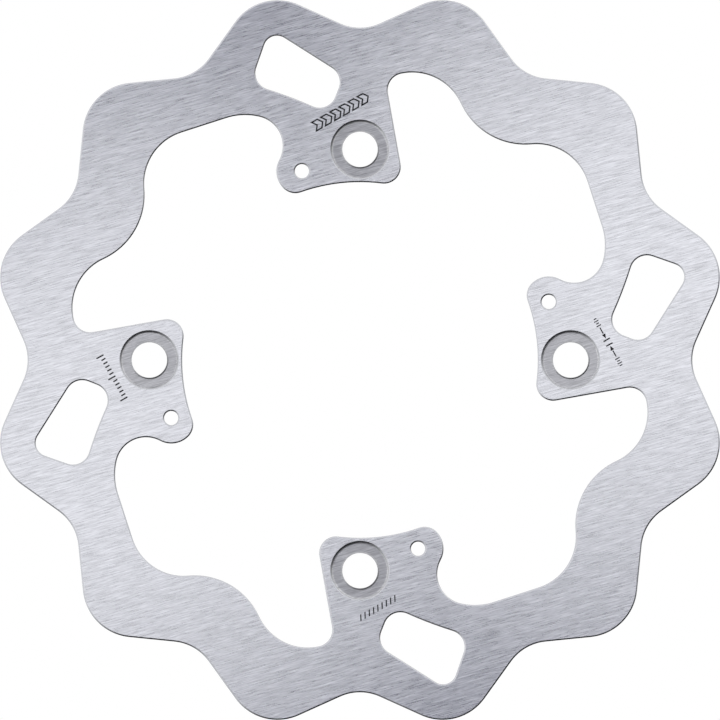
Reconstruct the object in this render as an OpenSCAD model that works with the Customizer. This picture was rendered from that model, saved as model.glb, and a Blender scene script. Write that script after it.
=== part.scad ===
// Fixed brake disc with a wavy rim: one flat steel plate with four bolt lugs.
// The axle runs along Y. The mounting face is the plane Y = 0 and the outer face
// looks along -Y. One lug points along +Z.

/* [Plate] */
// Diameter over the crests of the wavy rim
outer_d = 220; // [218:1:226]
// Thickness of the plate when new
plate_t = 5; // [4:0.5:6]
// Diameter of the four pilot arcs that centre the disc on its hub
pilot_d = 105.5; // [104:0.5:107]

/* [Wavy rim] */
// Number of crests round the rim
wave_count = 12; // [8, 12]
// Height of a crest above the valleys beside it
wave_depth = 11.4; // [9:0.2:12]
// Radius of the arc over a crest
crest_r = 15.35; // [12:0.05:16]
// Radius of the arc in a valley
valley_r = 14.25; // [10:0.05:15]

/* [Bolt lugs] */
// Diameter of the circle that the four hub bolts sit on
bolt_circle_d = 125; // [123:0.5:127]
// Diameter of each bolt hole
bolt_hole_d = 10.5; // [8.5:0.5:11]
// Diameter of the round recess that the bolt's head sits in
recess_d = 17; // [14:0.5:18]
// Depth of that recess below the outer face
recess_depth = 1.2; // [0.5:0.1:2]
// Angle between a lug's straight flank and the line from the axle to its bolt
flank_angle = 10.1; // [9:0.1:11]
// Distance from the axle to the line of the straight flank
flank_offset = 22.05; // [21.5:0.05:22.5]
// Radius of the inside corner where the flank meets the plate
root_r = 5; // [4:0.5:6]
// Radius of the two outside corners beside the pilot arc
lug_corner_r = 5; // [4:0.5:5.5]

/* [Ears] */
// Diameter of the small hole in each lug's ear
ear_hole_d = 4.2; // [3:0.1:5]
// Diameter of the circle that the small holes sit on
ear_hole_circle_d = 117.2; // [116:0.1:118]
// Angle from a bolt hole to its small hole
ear_hole_angle = 17.1; // [16.5:0.1:18]
// Radius of the rounded end of the ear
ear_r = 7.15; // [7:0.05:7.5]
// Distance from the axle to the centre of the ear's round end
ear_reach = 58.7; // [58.5:0.1:59]
// Angle from the bolt hole to the centre of the ear's round end
ear_angle = 17.5; // [17.2:0.1:17.8]
// Radius of the inside corner between the ear and the plate
ear_fillet_r = 8.9; // [8:0.1:10]

/* [Inner edge] */
// Radius of the two matching pockets that sit between lugs
pocket_r = 15.9; // [15:0.1:16.5]
// Distance from the axle to the centre of each of them
pocket_reach = 71.1; // [70.5:0.1:71.5]
// Half of the angle between them
pocket_spread = 17.4; // [17:0.1:17.8]
// Radius of the bump between the two pockets
bump_r = 21; // [18:0.5:24]
// Radius of the pocket beside the ear
ear_pocket_r = 18.4; // [18:0.1:19]
// Distance from the axle to the centre of that pocket
ear_pocket_reach = 64.05; // [63.5:0.05:64.5]
// Angle from the bolt hole to the centre of that pocket
ear_pocket_angle = 32.1; // [31.8:0.1:32.5]

/* [Windows] */
// Radius of the window's corners, apart from the one nearest the rim
window_corner_r = 5; // [4:0.5:5.5]
// Radius of the corner nearest the rim
window_rim_corner_r = 4; // [3:0.5:5]
// Distance from the axle to the centre of the corner nearest the rim
window_rim_reach = 95.45; // [94:0.05:96]
// Angle from the bolt hole to that corner
window_rim_angle = 14.95; // [14.5:0.05:15.5]
// Distance from the axle to the corner beside the bolt's line, on the rim side
window_near_reach = 83.15; // [82.5:0.05:84]
// Angle from the bolt hole to that corner
window_near_angle = 7.6; // [7:0.1:8]
// Distance from the axle to the corner beside the bolt's line, on the hub side
window_hub_reach = 80.75; // [80:0.05:81.5]
// Angle from the bolt hole to that corner
window_hub_angle = 8.55; // [8:0.05:9]
// Distance from the axle to the last corner
window_far_reach = 89.05; // [88.5:0.05:89.5]
// Angle from the bolt hole to the last corner
window_far_angle = 17; // [16.5:0.1:17.5]
// Radius of the slight bow in the window's hub side
window_bow_r = 120; // [80:10:200]

/* [Hidden] */
lug_count = 4;
lug_pitch = 360 / lug_count;
first_lug = 90;
wave_pitch = 360 / wave_count;
// The bump between the pockets lies this far from the lug on its flank side.
bump_angle = 30;
// Greatest distance between an arc and the straight edges that stand for it
chord_error = 0.01;
// Edges shorter than this are left out of an outline.
shortest_edge = 0.001;
// How far a cutting tool stands clear of the faces that it cuts through
clear = 1;
round_steps = 96;
axle = [0, 0];
steel = [0.8, 0.81, 0.83];

function polar(reach, angle) = [reach * cos(angle), reach * sin(angle)];

// A point where a circle round a meets a circle round b. It lies to the left of
// the way from a to b when side is 1 and to the right when side is -1.
function meet(a, a_r, b, b_r, side) =
    let (
        way = b - a,
        gap = norm(way),
        along = (a_r * a_r - b_r * b_r + gap * gap) / (2 * gap),
        across = side * sqrt(a_r * a_r - along * along)
    )
    a + (along * way + across * [-way.y, way.x]) / gap;

// The point at distance reach from c, on the line at distance offset from the
// axle whose normal points at the angle given.
function on_line(angle, offset, c, reach) =
    let (
        normal = polar(1, angle),
        step = offset - normal * c
    )
    c + step * normal + sqrt(reach * reach - step * step) * polar(1, angle + 90);

// An outline is a ring of arcs, each written [centre, radius]. The path runs
// anticlockwise round a positive radius and clockwise round a negative one, and
// goes from one arc to the next along the straight line that touches both.
function heading(from, to) =
    let (
        way = to[0] - from[0],
        lean = (from[1] - to[1]) / norm(way)
    )
    atan2(way.y, way.x) + asin(max(-1, min(1, lean)));

function half_turn(angle) = (angle + 540) % 360 - 180;

function arc_steps(r, sweep) =
    max(1, ceil(abs(sweep) / (2 * acos(1 - chord_error / abs(r)))));

function arc_points(c, r, start, sweep) =
    let (steps = arc_steps(r, sweep))
    [
        for (i = [0 : steps])
        let (angle = start + sweep * i / steps)
        c + r * [sin(angle), -cos(angle)]
    ];

function drop_short_edges(points) =
    let (count = len(points))
    [
        for (i = [0 : count - 1])
        if (norm(points[(i + 1) % count] - points[i]) > shortest_edge)
        points[i]
    ];

function outline(arcs) =
    let (
        count = len(arcs),
        headings = [for (i = [0 : count - 1]) heading(arcs[i], arcs[(i + 1) % count])],
        points = [
            for (i = [0 : count - 1])
            let (start = headings[(i + count - 1) % count])
            each arc_points(arcs[i][0], arcs[i][1], start, half_turn(headings[i] - start))
        ]
    )
    drop_short_edges(points);

// Crests and valleys take turns round the rim, with a valley on each lug's line.
function rim_arcs() = [
    for (i = [0 : wave_count - 1])
    let (
        valley_angle = first_lug + i * wave_pitch,
        valley_reach = outer_d / 2 - wave_depth + valley_r
    )
    each [
        [polar(valley_reach, valley_angle), -valley_r],
        [polar(outer_d / 2 - crest_r, valley_angle + wave_pitch / 2), crest_r]
    ]
];

// The inner edge from the middle of the gap before a lug to the gap after it.
// A positive radius has air inside its arc and a negative one has steel inside.
function lug_arcs(lug) =
    let (
        pilot_r = pilot_d / 2,
        first_pocket = polar(pocket_reach, lug - bump_angle - pocket_spread),
        second_pocket = polar(pocket_reach, lug - bump_angle + pocket_spread),
        bump_reach = pocket_r + bump_r,
        bump = meet(first_pocket, bump_reach, second_pocket, bump_reach, -1),
        flank = lug - 90 + flank_angle,
        root = on_line(flank, flank_offset + root_r, second_pocket, pocket_r - root_r),
        corner = on_line(flank, flank_offset - lug_corner_r, axle, pilot_r + lug_corner_r),
        ear = polar(ear_reach, lug + ear_angle),
        ear_corner = meet(axle, pilot_r + lug_corner_r, ear, ear_r - lug_corner_r, 1),
        ear_pocket = polar(ear_pocket_reach, lug + ear_pocket_angle),
        ear_fillet = meet(ear, ear_r + ear_fillet_r, ear_pocket, ear_pocket_r - ear_fillet_r, -1)
    )
    [
        [first_pocket, pocket_r],
        [bump, -bump_r],
        [second_pocket, pocket_r],
        [root, root_r],
        [corner, -lug_corner_r],
        [axle, pilot_r],
        [ear_corner, -lug_corner_r],
        [ear, -ear_r],
        [ear_fillet, ear_fillet_r],
        [ear_pocket, ear_pocket_r]
    ];

function inner_arcs() = [
    for (i = [0 : lug_count - 1])
    each lug_arcs(first_lug + i * lug_pitch)
];

function window_arcs(lug) =
    let (
        near = polar(window_near_reach, lug + window_near_angle),
        rim = polar(window_rim_reach, lug + window_rim_angle),
        far = polar(window_far_reach, lug + window_far_angle),
        hub = polar(window_hub_reach, lug + window_hub_angle),
        bow_reach = window_bow_r + window_corner_r,
        bow = meet(far, bow_reach, hub, bow_reach, -1)
    )
    [
        [near, window_corner_r],
        [rim, window_rim_corner_r],
        [far, window_corner_r],
        [bow, -window_bow_r],
        [hub, window_corner_r]
    ];

module plate() {
    linear_extrude(plate_t)
    polygon(outline(rim_arcs()));
}

module cut(arcs) {
    translate([0, 0, -clear])
    linear_extrude(plate_t + 2 * clear)
    polygon(outline(arcs));
}

module bolt_hole() {
    translate([0, 0, -clear])
    cylinder(d = bolt_hole_d, h = plate_t + 2 * clear, $fn = round_steps);
    translate([0, 0, plate_t - recess_depth])
    cylinder(d = recess_d, h = recess_depth + clear, $fn = round_steps);
}

module ear_hole() {
    translate([0, 0, -clear])
    cylinder(d = ear_hole_d, h = plate_t + 2 * clear, $fn = round_steps);
}

module at_reach(reach, angle) {
    rotate(angle)
    translate([reach, 0, 0])
    children();
}

// The disc lies flat in its own drawing plane and is then stood up on edge.
module brake_disc() {
    color(steel)
    rotate([90, 0, 0])
    difference() {
        plate();
        cut(inner_arcs());
        for (i = [0 : lug_count - 1]) {
            lug = first_lug + i * lug_pitch;
            cut(window_arcs(lug));
            at_reach(bolt_circle_d / 2, lug) bolt_hole();
            at_reach(ear_hole_circle_d / 2, lug + ear_hole_angle) ear_hole();
        }
    }
}

brake_disc();
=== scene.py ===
"""Looks for the brake disc: a finished mesh of the plate, its brushed steel, and the studio round it.

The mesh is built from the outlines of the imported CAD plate, so every edge and hole stays where the
CAD has it. Lengths are in millimetres until the mesh is written, unless a comment says otherwise.
"""

import math

import bpy
import numpy as np
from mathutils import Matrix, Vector
from mathutils.geometry import delaunay_2d_cdt


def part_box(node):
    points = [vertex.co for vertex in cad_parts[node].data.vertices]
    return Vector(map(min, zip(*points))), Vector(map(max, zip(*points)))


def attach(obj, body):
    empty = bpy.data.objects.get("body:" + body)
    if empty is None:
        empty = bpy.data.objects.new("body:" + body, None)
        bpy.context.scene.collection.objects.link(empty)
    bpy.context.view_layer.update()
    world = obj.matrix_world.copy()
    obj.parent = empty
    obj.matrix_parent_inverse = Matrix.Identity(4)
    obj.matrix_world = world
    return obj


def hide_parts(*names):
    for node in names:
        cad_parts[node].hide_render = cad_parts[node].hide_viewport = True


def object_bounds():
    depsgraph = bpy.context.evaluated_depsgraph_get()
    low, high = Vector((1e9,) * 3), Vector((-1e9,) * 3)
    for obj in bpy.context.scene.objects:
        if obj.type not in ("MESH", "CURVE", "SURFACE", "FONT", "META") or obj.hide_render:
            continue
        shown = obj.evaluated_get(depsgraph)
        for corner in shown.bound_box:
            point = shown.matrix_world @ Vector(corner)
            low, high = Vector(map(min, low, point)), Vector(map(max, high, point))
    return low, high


MM = 0.001
NODE = "brake_disc"

# Cut edges: widths and radii in millimetres, tilts in degrees
BEVEL = 0.38
BEVEL_TILT = 40
BEVEL_R = 0.1

# Bolt recesses: a bevel, a hollow ramp down to the floor, and a low lip round the hole
RECESS_DEPTH = 1.2
RECESS_BEVEL = 0.34
RAMP_R = 0.95
RAMP_TILT = 40
LIP_SLOPE = 0.36
LIP_TILT = 30
LIP_R = 0.05

# Fineness of the mesh, with its lengths in millimetres
ARC_STEPS = 3
WALL_STEPS = 4
CIRCLE_STEPS = 144
LONGEST_STEP = 2.5
GRID = 3.0
GRID_CLEAR = 1.3
SAME_PLACE = 1e-6
SAME_POINT = 1e-7

# Reading the CAD outlines: how far a round one may stray, as a share of its radius, and in
# millimetres how close two centres are that count as one, and how much wider than its bolt hole a
# recess is at least
ROUND_WITHIN = 0.02
SAME_CENTRE = 0.1
RECESS_EXCESS = 1.0

# Etched marks, in millimetres: their depth, their distance from the axle and from the lug's line,
# and the angle between a row of marks and the rim
MARK_DEPTH = 0.08
MARK_REACH = 73.6
MARK_SIDE = 5.3
ARROW_SIDE = 5.9
MARK_SLANT = math.radians(29.5)

# Grain of the ground faces: its direction, the height of its relief in metres, how far its noise
# has to rise for the lightest colour or fall for the darkest, and its weight in the roughness
GRAIN_ANGLE = math.radians(15.4)
GRAIN_RELIEF = 0.00001
GRAIN_RANGE = 0.42
GRAIN_ROUGHNESS = 0.14

# Kinds of surface, in the order of the mesh's materials
PLATE, BEVELLED, EDGE, RECESS, MARK = range(5)

# Angles of the lugs round the axle, as the outer face shows them
RIGHT_LUG, TOP_LUG, LEFT_LUG, BOTTOM_LUG = (math.radians(90 * i) for i in range(4))

# Soft boxes, in metres: distance from the axle's line, length, height and distance from the disc.
# Their radiance is in watts per square metre and steradian.
BOX_REACH = 0.125
BOX_LENGTH = 0.224
BOX_HEIGHT = 0.196
BOX_DISTANCE = 0.323
BOX_RADIANCE = 1.06

# The room that the steel mirrors, and the way up to its light side
LIGHT_ANGLE = math.radians(116)
LIGHT_SIDE = (0.99, 1.0, 1.055, 1)
DARK_SIDE = (0.01, 0.01, 0.012, 1)
BACK_ROOM = (0.75, 0.75, 0.78, 1)
CAMERA_SIDE = (0.085, 0.09, 0.168, 1)
WHITE = (1, 1, 1, 1)
FLOOR_LIGHT = 1.16

# Floor and camera: the floor's reach in diagonals of the disc, and the camera's distance and the
# width of its picture in widths of the disc
FLOOR_REACH = 12
CAMERA_DISTANCE = 5
PICTURE_WIDTH = 1.0003


# ---------------------------------------------------------------- outlines


def face_loops(mesh, plane):
    """The outlines of the CAD faces in the plane y = plane: arrays of (x, z) with steel on their left."""
    spots = {}
    border = {}
    for face in mesh.polygons:
        corners = [mesh.vertices[i].co for i in face.vertices]
        if any(abs(co.y - plane) > SAME_PLACE for co in corners):
            continue
        keys = [(round(co.x * 1e6), round(co.z * 1e6)) for co in corners]
        for key, co in zip(keys, corners):
            spots[key] = (co.x / MM, co.z / MM)
        for start, end in zip(keys, keys[1:] + keys[:1]):
            if (end, start) in border:
                del border[(end, start)]
            else:
                border[(start, end)] = True
    following = dict(border.keys())
    loops = []
    while following:
        first, here = following.popitem()
        loop = [spots[first]]
        while here != first:
            loop.append(spots[here])
            here = following.pop(here)
        loops.append(np.array(loop))
    return loops


def circle(centre, radius):
    """A circle that runs clockwise, so that the steel round a hole is on its left."""
    turn = -2 * np.pi * np.arange(CIRCLE_STEPS) / CIRCLE_STEPS
    return np.array(centre) + radius * np.stack([np.cos(turn), np.sin(turn)], axis=1)


def as_circle(loop):
    """(centre, radius) of a loop that is round, or None."""
    centre = (loop.min(axis=0) + loop.max(axis=0)) / 2
    reach = np.linalg.norm(loop - centre, axis=1)
    if np.ptp(reach) > ROUND_WITHIN * reach.mean():
        return None
    return centre, reach.max()


def with_short_steps(loop):
    """The loop with its long straight stretches cut into shorter ones."""
    points = []
    for start, end in zip(loop, np.roll(loop, -1, axis=0)):
        steps = max(1, math.ceil(np.linalg.norm(end - start) / LONGEST_STEP))
        points += [start + (end - start) * i / steps for i in range(steps)]
    return np.array(points)


def outward(loop):
    """At each point, the way out of the steel, long enough to keep an offset outline parallel."""
    along = np.roll(loop, -1, axis=0) - loop
    along /= np.linalg.norm(along, axis=1)[:, None]
    after = np.stack([along[:, 1], -along[:, 0]], axis=1)
    before = np.roll(after, 1, axis=0)
    return (before + after) / (1 + (before * after).sum(axis=1))[:, None]


def inside(points, loops):
    """Which points lie inside an odd number of the loops."""
    starts = np.vstack(loops)
    ends = np.vstack([np.roll(loop, -1, axis=0) for loop in loops])
    x, z = points[:, 0][:, None], points[:, 1][:, None]
    spans = (starts[:, 1] > z) != (ends[:, 1] > z)
    rise = np.where(ends[:, 1] == starts[:, 1], 1.0, ends[:, 1] - starts[:, 1])
    cross = starts[:, 0] + (z - starts[:, 1]) * (ends[:, 0] - starts[:, 0]) / rise
    return (spans & (x < cross)).sum(axis=1) % 2 == 1


# ---------------------------------------------------------------- profiles
# A profile is a list of (out, depth, tilt). A point lies that far out of the steel and that far below
# the outer face. Its surface faces the outer side at tilt 0, away from the steel at 90, and the
# mounting side at 180.


def arc(out, depth, radius, start, end, steps=ARC_STEPS):
    """An arc round the centre (out, depth). A negative radius makes it hollow."""
    points = []
    for i in range(steps + 1):
        tilt = start + (end - start) * i / steps
        turn = math.radians(tilt)
        points.append((out + radius * math.sin(turn), depth - radius * math.cos(turn), tilt))
    return points


def wall(out, start, end):
    """The inner points of a straight wall from one depth to another."""
    return [(out, start + (end - start) * i / WALL_STEPS, 90) for i in range(1, WALL_STEPS)]


def bevel(width, radius):
    """The bevel between the outer face and a cut edge, slightly rounded where it meets them."""
    turn = math.radians(BEVEL_TILT)
    run_out = width + radius * math.tan(turn / 2)
    drop = width * math.tan(turn) + radius * math.tan(math.pi / 4 - turn / 2)
    return arc(-run_out, radius, radius, 0, BEVEL_TILT) + arc(-radius, drop, radius, BEVEL_TILT, 90)


def back_bevel(out, thickness):
    """The bevel on the mounting side of an edge that lies at the distance given."""
    front = bevel(BEVEL, BEVEL_R)
    return [(out + way, thickness - depth, 180 - tilt) for way, depth, tilt in reversed(front)]


def plain_profile(thickness):
    """A cut edge with both of its corners bevelled."""
    front = bevel(BEVEL, BEVEL_R)
    back = back_bevel(0, thickness)
    return front + wall(0, front[-1][1], back[0][1]) + back


def lip(hole):
    """The raised lip round a bolt hole: a slope up from the floor, and a rounded crest."""
    turn = math.radians(LIP_TILT)
    crest = hole - LIP_R
    foot = crest - 2 * LIP_R * math.sin(turn) - LIP_SLOPE
    height = LIP_SLOPE * math.tan(turn) - LIP_R * (2 * math.cos(turn) - 1)
    hollow = arc(foot, RECESS_DEPTH - LIP_R, -LIP_R, 0, -LIP_TILT)
    return hollow + arc(crest, RECESS_DEPTH - height, LIP_R, -LIP_TILT, 90, 2 * ARC_STEPS)


def recess_profile(thickness, hole):
    """A bolt hole's recess: its side, a hollow ramp down to the floor, the lip, and the hole's wall."""
    edge = bevel(RECESS_BEVEL, LIP_R)
    reach = RAMP_R * math.sin(math.radians(RAMP_TILT))
    ramp = arc(reach, RECESS_DEPTH - RAMP_R, -RAMP_R, RAMP_TILT, 0, 2 * ARC_STEPS)
    side = wall(0, edge[-1][1], ramp[0][1]) + [(0, ramp[0][1], 90)]
    rim = lip(hole)
    back = back_bevel(hole, thickness)
    return edge + side + ramp + rim + wall(hole, rim[-1][1], back[0][1]) + back


# ---------------------------------------------------------------- etched marks
# A row of marks is a list of closed outlines. s runs along the row and t across it, from its middle.


def block(s, t, width, height, lean=0.0):
    """An upright bar that leans by a share of its height."""
    half_w, half_h = width / 2, height / 2
    corners = [(-half_w, -half_h), (half_w, -half_h), (half_w, half_h), (-half_w, half_h)]
    return np.array([(s + a + lean * b, t + b) for a, b in corners])


def chevron(s, height, depth, arm):
    """An arrowhead that points along the line."""
    half = height / 2
    return np.array([
        (s, -half),
        (s + arm, -half),
        (s + arm + depth, 0),
        (s + arm, half),
        (s, half),
        (s + depth, 0),
    ])


def shrunk(loop, inset):
    """The same outline, smaller by inset on every side."""
    return loop - outward(loop) * inset


def arrow_row():
    """Outlined arrowheads that show which way the disc turns."""
    count, pitch, height, depth, arm, stroke = 6, 3.1, 3.3, 1.2, 2.4, 0.43
    loops = []
    for i in range(count):
        outer = chevron((i - count / 2) * pitch, height, depth, arm)
        loops += [outer, shrunk(outer, stroke)]
    return loops


def scale_row():
    """A plain scale: upright bars on one base line, with a tall one at each end and in the middle."""
    count, pitch, width, tall, low = 13, 1.2, 0.42, 2.4, 1.4
    loops = []
    for i in range(count):
        height = tall if i % 6 == 0 else low
        loops.append(block((i - (count - 1) / 2) * pitch, (height - tall) / 2, width, height))
    return loops


def gauge_mark():
    """The usual sign for a thickness: two lines with an arrow from each side, and a short scale."""
    line, arrow_tip, arrow_base, half_head = 0.8, 1.3, 2.7, 0.6
    stem_middle, stem_length, first_bar, pitch = 3.9, 2.0, 5.6, 0.75
    loops = [block(side * line, 0, width=0.4, height=2.2) for side in (-1, 1)]
    for side in (-1, 1):
        head = np.array([(arrow_tip, 0), (arrow_base, -half_head), (arrow_base, half_head)])
        stem = block(stem_middle, 0, stem_length, height=0.36)
        for loop in (head, stem):
            turned = loop * (side, 1)
            loops.append(turned if side == 1 else turned[::-1])
        for i in range(4):
            height = 1.5 if i % 2 == 0 else 0.9
            loops.append(block(side * (first_bar + pitch * i), 0, width=0.32, height=height))
    return loops


def hatch_row():
    """A row of leaning bars."""
    count, pitch, width, height, lean = 9, 1.45, 0.42, 1.8, 0.5
    return [block((i - (count - 1) / 2) * pitch, 0, width, height, lean) for i in range(count)]


def on_lug(loops, lug, side=MARK_SIDE):
    """The outlines placed between a lug's window and its bolt hole."""
    slant = lug - math.pi / 2 + MARK_SLANT
    along = np.array([math.cos(slant), math.sin(slant)])
    across = np.array([-along[1], along[0]])
    reach = np.array([math.cos(lug), math.sin(lug)])
    beside = np.array([-reach[1], reach[0]])
    middle = MARK_REACH * reach + side * beside
    return [middle + loop[:, :1] * along + loop[:, 1:] * across for loop in loops]


def mark_loops():
    """Every etched outline on the outer face."""
    loops = on_lug(arrow_row(), TOP_LUG, ARROW_SIDE)
    loops += on_lug(scale_row(), LEFT_LUG)
    loops += on_lug(hatch_row(), BOTTOM_LUG)
    loops += on_lug(gauge_mark(), RIGHT_LUG)
    return loops


# ---------------------------------------------------------------- mesh


class Shell:
    """The vertices, faces, corner normals and material numbers of one mesh."""

    def __init__(self, thickness):
        self.thickness = thickness
        self.verts = []
        self.faces = []
        self.normals = []
        self.kinds = []

    def add_points(self, flat, depth):
        """Adds points at one depth and gives their numbers."""
        first = len(self.verts)
        self.verts += [(x, depth - self.thickness, z) for x, z in flat]
        return np.arange(first, len(self.verts))

    def add_face(self, corners, normals, kind):
        self.faces.append([int(c) for c in corners])
        self.normals += [tuple(n) for n in normals]
        self.kinds.append(kind)

    def sweep(self, loop, profile, kind_of):
        """Carries a profile round a loop. Gives the first and the last ring of points."""
        way = outward(loop)
        unit = way / np.linalg.norm(way, axis=1)[:, None]

        def facing(tilt):
            turn = math.radians(tilt)
            flat = unit * math.sin(turn)
            return np.stack([flat[:, 0], np.full(len(unit), -math.cos(turn)), flat[:, 1]], axis=1)

        rings = []
        for out, depth, tilt in profile:
            moved = rings and math.dist((out, depth), rings[-1][:2]) > SAME_PLACE
            numbers = self.add_points(loop + way * out, depth) if moved or not rings else rings[-1][3]
            rings.append((out, depth, tilt, numbers))
        after = np.roll(np.arange(len(loop)), -1)
        for upper, lower in zip(rings, rings[1:]):
            if upper[3] is lower[3]:
                continue
            up_normal, low_normal = facing(upper[2]), facing(lower[2])
            kind = kind_of(upper, lower)
            for i, j in enumerate(after):
                self.add_face(
                    (upper[3][i], lower[3][i], lower[3][j], upper[3][j]),
                    (up_normal[i], low_normal[i], low_normal[j], up_normal[j]),
                    kind,
                )
        return rings[0][3], rings[-1][3]

    def flat(self, numbers):
        """Where the numbered points lie in the plane of the disc, as rows of (x, z)."""
        return np.array([(self.verts[n][0], self.verts[n][2]) for n in numbers])

    def flat_face(self, rings, grid, depth, front, kind, marks=()):
        """Fills a flat face between rings of points. Marks become shallow pockets with a floor."""
        outlines = [self.flat(ring) for ring in rings]
        mark_rings = [self.add_points(loop, depth) for loop in marks]
        all_rings = list(rings) + mark_rings
        numbers = np.concatenate(all_rings + [self.add_points(grid, depth)])
        flat = self.flat(numbers)
        edges = []
        start = 0
        for ring in all_rings:
            count = len(ring)
            edges += [(start + i, start + (i + 1) % count) for i in range(count)]
            start += count
        _, _, triangles, origin, _, _ = delaunay_2d_cdt([Vector(p) for p in flat], edges, [], 0, SAME_POINT)
        first = np.array([o[0] for o in origin])
        triangles = first[np.array(triangles)]
        middles = flat[triangles].mean(axis=1)
        steel = inside(middles, outlines)
        etched = inside(middles, list(marks)) if len(marks) else np.zeros(len(steel), bool)
        a, b, c = (flat[triangles[:, i]] for i in range(3))
        left_handed = np.cross(b - a, c - a) < 0
        floor_of = {}
        for ring, loop in zip(mark_rings, marks):
            floor_of.update(zip(ring, self.add_points(loop, depth + MARK_DEPTH)))
        facing = (0.0, -1.0 if front else 1.0, 0.0)
        for triangle, solid, pocket, flipped in zip(triangles, steel, etched, left_handed):
            if not solid:
                continue
            corners = [numbers[i] for i in (triangle if flipped != front else triangle[::-1])]
            if pocket:
                corners = [floor_of[n] for n in corners]
            self.add_face(corners, [facing] * 3, MARK if pocket else kind)
        for ring in mark_rings:
            self.pocket_wall(ring, floor_of)

    def pocket_wall(self, ring, floor_of):
        """The upright side of one outline of a mark. Its outline may run either way round."""
        flat = self.flat(ring)
        for i in range(len(ring)):
            j = (i + 1) % len(ring)
            along = flat[j] - flat[i]
            side = np.array([along[1], -along[0]]) / np.linalg.norm(along)
            normal = (side[0], 0.0, side[1])
            corners = (ring[i], floor_of[ring[i]], floor_of[ring[j]], ring[j])
            self.add_face(corners, [normal] * 4, MARK)

    def to_object(self, name, materials):
        """The finished mesh as an object in metres."""
        mesh = bpy.data.meshes.new(name)
        mesh.from_pydata([(x * MM, y * MM, z * MM) for x, y, z in self.verts], [], self.faces)
        for material in materials:
            mesh.materials.append(material)
        mesh.polygons.foreach_set("material_index", self.kinds)
        mesh.polygons.foreach_set("use_smooth", [True] * len(self.faces))
        mesh.normals_split_custom_set(self.normals)
        obj = bpy.data.objects.new(name, mesh)
        bpy.context.scene.collection.objects.link(obj)
        return obj


def grid_points(loops):
    """Evenly spaced points on the steel, clear of every outline."""
    low = np.vstack(loops).min(axis=0)
    high = np.vstack(loops).max(axis=0)
    row_step = GRID * math.sqrt(3) / 2
    rows = np.arange(low[1], high[1], row_step)
    points = [
        (x, z)
        for i, z in enumerate(rows)
        for x in np.arange(low[0] + GRID / 2 * (i % 2), high[0], GRID)
    ]
    points = np.array(points)
    points = points[inside(points, loops)]
    edge = np.vstack(loops)
    gaps = np.min(np.linalg.norm(points[:, None] - edge[None], axis=2), axis=1)
    return points[gaps > GRID_CLEAR]


def steel_always_left(loops):
    """Marks turned so that the steel round them is on the left, as it is for a hole."""
    turned = []
    for loop in loops:
        after = np.roll(loop, -1, axis=0)
        area = (loop[:, 0] * after[:, 1] - after[:, 0] * loop[:, 1]).sum() / 2
        depth = sum(inside(loop[:1], [other])[0] for other in loops if other is not loop)
        is_hole = depth % 2 == 0
        turned.append(loop[::-1] if (area > 0) == is_hole else loop)
    return turned


def radius_behind(found, holes):
    """The radius of the hole that opens behind a round outline, on the same centre."""
    for centre, radius in holes:
        if np.linalg.norm(centre - found[0]) < SAME_CENTRE:
            return radius
    return None


def build_disc(cad, materials):
    """The disc's finished mesh, from the outlines of its two flat CAD faces."""
    low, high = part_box(NODE)
    thickness = (high.y - low.y) / MM
    holes = [found for found in map(as_circle, face_loops(cad.data, high.y)) if found]
    shell = Shell(thickness)
    front, back, outlines = [], [], []
    for loop in face_loops(cad.data, low.y):
        found = as_circle(loop)
        loop = circle(*found) if found else with_short_steps(loop)
        hole_r = radius_behind(found, holes) if found else None
        if hole_r and hole_r < found[1] - RECESS_EXCESS:
            profile = recess_profile(thickness, found[1] - hole_r)
            first, last = shell.sweep(loop, profile, recess_kind)
        else:
            first, last = shell.sweep(loop, plain_profile(thickness), plain_kind)
        front.append(first)
        back.append(last)
        outlines.append(loop)
    marks = steel_always_left(mark_loops())
    grid = grid_points(outlines + marks)
    shell.flat_face(front, grid, 0, True, PLATE, marks)
    back_grid = grid_points([shell.flat(ring) for ring in back])
    shell.flat_face(back, back_grid, thickness, False, PLATE)
    return shell.to_object("disc_plate", materials)


def plain_kind(upper, lower):
    """The bevels are machined smooth, and the wall between them is as cut."""
    return EDGE if upper[2] == lower[2] == 90 else BEVELLED


def recess_kind(upper, lower):
    """The recess floor is a little rougher than the faces, and its colour is painted darker there as
    painted shade. Its ramp and the lip are part of the floor.
    """
    if RECESS_DEPTH / 2 < lower[1] < RECESS_DEPTH + SAME_PLACE and lower[2] < 90:
        return RECESS
    return plain_kind(upper, lower)


# ---------------------------------------------------------------- materials


def add(tree, kind, inputs=None, **settings):
    """A shader node with its settings and inputs. An input given as a socket is linked."""
    made = tree.nodes.new(kind)
    for name, value in settings.items():
        setattr(made, name, value)
    for name, value in (inputs or {}).items():
        if isinstance(value, bpy.types.NodeSocket):
            tree.links.new(value, made.inputs[name])
        else:
            made.inputs[name].default_value = value
    return made


def math_node(tree, operation, a, b):
    return add(tree, "ShaderNodeMath", {0: a, 1: b}, operation=operation).outputs[0]


def blend(tree, share, first, second):
    """One colour passing into another as share goes from 0 to 1."""
    return add(tree, "ShaderNodeMixRGB", {"Fac": share, "Color1": first, "Color2": second}).outputs[0]


def grain_coordinates(tree):
    """Object coordinates turned so that their X runs along the grain."""
    place = add(tree, "ShaderNodeTexCoord").outputs["Object"]
    turned = add(
        tree,
        "ShaderNodeVectorRotate",
        {"Vector": place, "Angle": GRAIN_ANGLE},
        rotation_type="Y_AXIS",
    )
    return turned.outputs[0]


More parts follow.
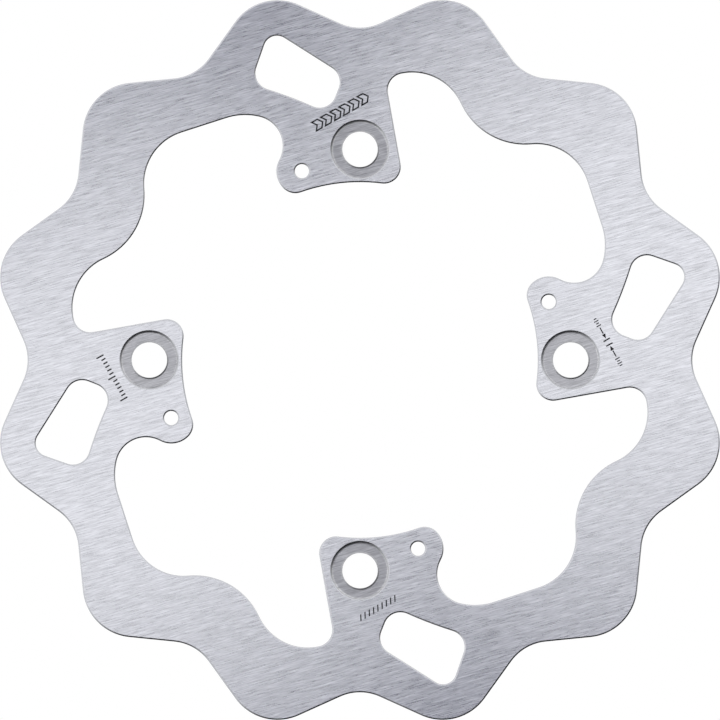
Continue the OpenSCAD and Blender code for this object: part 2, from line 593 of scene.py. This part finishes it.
def streaks(tree, coords, length, width):
    """Noise drawn out along the grain. Its streaks have about the length and width given."""
    scale = (1 / (length * MM), 1 / (width * MM), 1 / (width * MM))
    stretched = add(tree, "ShaderNodeVectorMath", {0: coords, 1: scale}, operation="MULTIPLY")
    noise = add(
        tree,
        "ShaderNodeTexNoise",
        {"Vector": stretched.outputs[0], "Scale": 1.0, "Detail": 0.0},
    )
    return noise.outputs["Fac"]


def mixed(tree, parts):
    """The weighted sum of noises, each taken from its own middle."""
    total = None
    for noise, weight in parts:
        centred = math_node(tree, "SUBTRACT", noise, 0.5)
        scaled = math_node(tree, "MULTIPLY", centred, weight)
        total = scaled if total is None else math_node(tree, "ADD", total, scaled)
    return total


def new_material(name):
    material = bpy.data.materials.new(name)
    material.use_nodes = True
    material.node_tree.nodes.clear()
    return material, material.node_tree


def finish_material(tree, inputs):
    surface = add(tree, "ShaderNodeBsdfPrincipled", inputs)
    add(tree, "ShaderNodeOutputMaterial", {"Surface": surface.outputs[0]})


def brushed_steel(name, dark, light, roughness):
    """Steel ground in one direction. The grain shows in its colour, roughness and a fine relief."""
    material, tree = new_material(name)
    coords = grain_coordinates(tree)
    nicks = (streaks(tree, coords, length=1.6, width=0.22), 0.35)
    short = (streaks(tree, coords, length=4.5, width=0.19), 0.8)
    long = (streaks(tree, coords, length=10.0, width=0.28), 0.45)
    relief = mixed(tree, [short, long])
    grain = mixed(tree, [nicks, short, long])
    tone = add(
        tree,
        "ShaderNodeMapRange",
        {"Value": grain, "From Min": -GRAIN_RANGE, "From Max": GRAIN_RANGE},
    )
    colour = blend(tree, tone.outputs[0], dark, light)
    rough = math_node(tree, "ADD", math_node(tree, "MULTIPLY", grain, GRAIN_ROUGHNESS), roughness)
    bump = add(tree, "ShaderNodeBump", {"Strength": 1.0, "Distance": GRAIN_RELIEF, "Height": relief})
    across = (-math.sin(GRAIN_ANGLE), 0.0, math.cos(GRAIN_ANGLE))
    tangent = add(tree, "ShaderNodeCombineXYZ", {"X": across[0], "Y": across[1], "Z": across[2]})
    finish_material(
        tree,
        {
            "Base Color": colour,
            "Metallic": 1.0,
            "Roughness": rough,
            "Anisotropic": 0.4,
            "Tangent": tangent.outputs[0],
            "Normal": bump.outputs[0],
        },
    )
    return material


def bevelled_steel():
    """A machined bevel: the plate's own steel, smoother and with only a faint mottle."""
    material, tree = new_material("machined_bevel")
    place = add(tree, "ShaderNodeTexCoord").outputs["Object"]
    mottle = add(
        tree,
        "ShaderNodeTexNoise",
        {"Vector": place, "Scale": 1500.0, "Detail": 2.0},
    ).outputs["Fac"]
    colour = blend(tree, mottle, (0.56, 0.562, 0.565, 1), (0.68, 0.682, 0.685, 1))
    rough = math_node(tree, "ADD", math_node(tree, "MULTIPLY", mottle, 0.1), 0.18)
    bump = add(tree, "ShaderNodeBump", {"Strength": 0.5, "Distance": 0.00001, "Height": mottle})
    finish_material(
        tree,
        {"Base Color": colour, "Metallic": 1.0, "Roughness": rough, "Normal": bump.outputs[0]},
    )
    return material


def cut_steel():
    """The laser-cut wall: fine ridges that run from face to face, duller than the ground faces."""
    material, tree = new_material("laser_cut_edge")
    place = add(tree, "ShaderNodeTexCoord").outputs["Object"]
    stretched = add(
        tree,
        "ShaderNodeVectorMath",
        {0: place, 1: (1 / (0.35 * MM), 1 / (6.0 * MM), 1 / (0.35 * MM))},
        operation="MULTIPLY",
    )
    ridges = add(
        tree,
        "ShaderNodeTexNoise",
        {"Vector": stretched.outputs[0], "Scale": 1.0, "Detail": 2.0, "Roughness": 0.55},
    ).outputs["Fac"]
    tone = add(tree, "ShaderNodeMapRange", {"Value": ridges, "From Min": 0.3, "From Max": 0.7})
    colour = blend(tree, tone.outputs[0], (0.36, 0.36, 0.37, 1), (0.72, 0.72, 0.74, 1))
    rough = math_node(tree, "ADD", math_node(tree, "MULTIPLY", ridges, 0.3), 0.3)
    bump = add(tree, "ShaderNodeBump", {"Strength": 1.0, "Distance": 0.00008, "Height": ridges})
    finish_material(
        tree,
        {"Base Color": colour, "Metallic": 1.0, "Roughness": rough, "Normal": bump.outputs[0]},
    )
    return material


def etched_steel():
    """The floor of a laser mark: a dark, dull oxide with a fine grit."""
    material, tree = new_material("etched_mark")
    place = add(tree, "ShaderNodeTexCoord").outputs["Object"]
    grit = add(
        tree,
        "ShaderNodeTexNoise",
        {"Vector": place, "Scale": 4000.0, "Detail": 1.0},
    ).outputs["Fac"]
    colour = blend(tree, grit, (0.004, 0.004, 0.0045, 1), (0.02, 0.02, 0.021, 1))
    rough = math_node(tree, "ADD", math_node(tree, "MULTIPLY", grit, 0.3), 0.65)
    bump = add(tree, "ShaderNodeBump", {"Strength": 0.4, "Distance": 0.00002, "Height": grit})
    finish_material(
        tree,
        {"Base Color": colour, "Roughness": rough, "Specular IOR Level": 0.1, "Normal": bump.outputs[0]},
    )
    return material


# ---------------------------------------------------------------- studio


def rising(tree, value, low, high):
    """0 below low, 1 above high, and smooth between them."""
    made = add(
        tree,
        "ShaderNodeMapRange",
        {"Value": value, "From Min": low, "From Max": high},
        interpolation_type="SMOOTHSTEP",
    )
    return made.outputs[0]


def background(tree, colour, strength):
    return add(tree, "ShaderNodeBackground", {"Color": colour, "Strength": strength}).outputs[0]


def either(tree, share, first, second):
    """One shader passing into another as share goes from 0 to 1."""
    return add(tree, "ShaderNodeMixShader", {0: share, 1: first, 2: second}).outputs[0]


def add_world():
    """A world that is white to the camera and the floor, with a room for the steel to mirror.

    The room is bright at the top left, dark at the bottom right, dim behind the camera and even
    behind the disc.
    """
    world = bpy.data.worlds.new("studio")
    bpy.context.scene.world = world
    world.use_nodes = True
    tree = world.node_tree
    tree.nodes.clear()
    way = add(tree, "ShaderNodeTexCoord").outputs["Generated"]
    light_way = (math.cos(LIGHT_ANGLE), 0, math.sin(LIGHT_ANGLE))
    uphill = add(
        tree,
        "ShaderNodeVectorMath",
        {0: way, 1: light_way},
        operation="DOT_PRODUCT",
    ).outputs["Value"]
    back = add(tree, "ShaderNodeSeparateXYZ", {0: way}).outputs["Y"]
    front = math_node(tree, "MULTIPLY", back, -1.0)
    sides = blend(tree, rising(tree, uphill, low=-0.85, high=0.1), DARK_SIDE, LIGHT_SIDE)
    round_back = blend(tree, rising(tree, back, low=0.25, high=0.6), sides, BACK_ROOM)
    colour = blend(tree, rising(tree, front, low=0.88, high=0.95), round_back, CAMERA_SIDE)
    path = add(tree, "ShaderNodeLightPath").outputs
    room = background(tree, colour, 1.0)
    lit = either(tree, path["Is Diffuse Ray"], room, background(tree, WHITE, FLOOR_LIGHT))
    seen = either(tree, path["Is Camera Ray"], lit, background(tree, WHITE, 1.0))
    add(tree, "ShaderNodeOutputWorld", {"Surface": seen})


def add_soft_box(name, side, middle):
    """A soft box in front of the disc, to one side of the axle along the grain."""
    lamp = bpy.data.lights.new(name, "AREA")
    lamp.shape = "RECTANGLE"
    lamp.size = BOX_LENGTH
    lamp.size_y = BOX_HEIGHT
    lamp.energy = BOX_RADIANCE * math.pi * BOX_LENGTH * BOX_HEIGHT
    box = bpy.data.objects.new(name, lamp)
    along = Vector((math.cos(GRAIN_ANGLE), 0, math.sin(GRAIN_ANGLE)))
    box.location = middle + side * BOX_REACH * along - Vector((0, BOX_DISTANCE, 0))
    box.rotation_euler = (math.pi / 2, -GRAIN_ANGLE, 0)
    box.visible_camera = False
    bpy.context.scene.collection.objects.link(box)


def add_floor(low, high):
    """A pale floor under the two crests that the disc stands on."""
    reach = FLOOR_REACH * (high - low).length
    middle = (low + high) / 2
    corners = [(-1, -1), (1, -1), (1, 1), (-1, 1)]
    mesh = bpy.data.meshes.new("floor")
    places = [(middle.x + a * reach, middle.y + b * reach, low.z) for a, b in corners]
    mesh.from_pydata(places, [], [(0, 1, 2, 3)])
    floor = bpy.data.objects.new("floor", mesh)
    bpy.context.scene.collection.objects.link(floor)
    floor.visible_glossy = False
    material, tree = new_material("floor")
    paint = {"Base Color": (0.9, 0.9, 0.9, 1), "Roughness": 0.9, "Specular IOR Level": 0.0}
    finish_material(tree, paint)
    mesh.materials.append(material)


def add_camera(low, high):
    """A camera square to the disc, with parallel lines of sight. The disc just fills its picture."""
    middle = (low + high) / 2
    data = bpy.data.cameras.new("camera")
    data.type = "ORTHO"
    data.ortho_scale = PICTURE_WIDTH * (high.x - low.x)
    camera = bpy.data.objects.new("camera", data)
    camera.location = middle - Vector((0, CAMERA_DISTANCE * (high.x - low.x), 0))
    camera.rotation_euler = (math.pi / 2, 0, 0)
    bpy.context.scene.collection.objects.link(camera)
    bpy.context.scene.camera = camera


def add_studio(low, high):
    add_world()
    add_floor(low, high)
    add_camera(low, high)
    for name, side in (("soft_box_right", 1), ("soft_box_left", -1)):
        add_soft_box(name, side, (low + high) / 2)
    view = bpy.context.scene.view_settings
    view.view_transform = "Standard"
    view.look = "None"


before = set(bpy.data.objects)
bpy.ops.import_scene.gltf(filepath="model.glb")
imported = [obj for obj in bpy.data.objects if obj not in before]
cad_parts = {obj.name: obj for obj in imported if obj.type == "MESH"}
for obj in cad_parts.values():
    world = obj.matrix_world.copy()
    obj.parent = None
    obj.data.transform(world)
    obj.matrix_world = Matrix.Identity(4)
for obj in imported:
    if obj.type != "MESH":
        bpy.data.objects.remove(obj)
cad_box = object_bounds()
steel = [
    brushed_steel(
        "brushed_plate",
        dark=(0.46, 0.463, 0.463, 1),
        light=(0.98, 0.985, 0.985, 1),
        roughness=0.3,
    ),
    bevelled_steel(),
    cut_steel(),
    # The recess floor: the same brushed steel, a little rougher, with its colour painted darker as painted
    # shade in the bolt recesses
    brushed_steel(
        "recess_floor_painted_shade",
        dark=(0.27, 0.27, 0.27, 1),
        light=(0.67, 0.67, 0.67, 1),
        roughness=0.33,
    ),
    etched_steel(),
]
disc = build_disc(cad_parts[NODE], steel)
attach(disc, "root")
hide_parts(NODE)
add_studio(*cad_box)
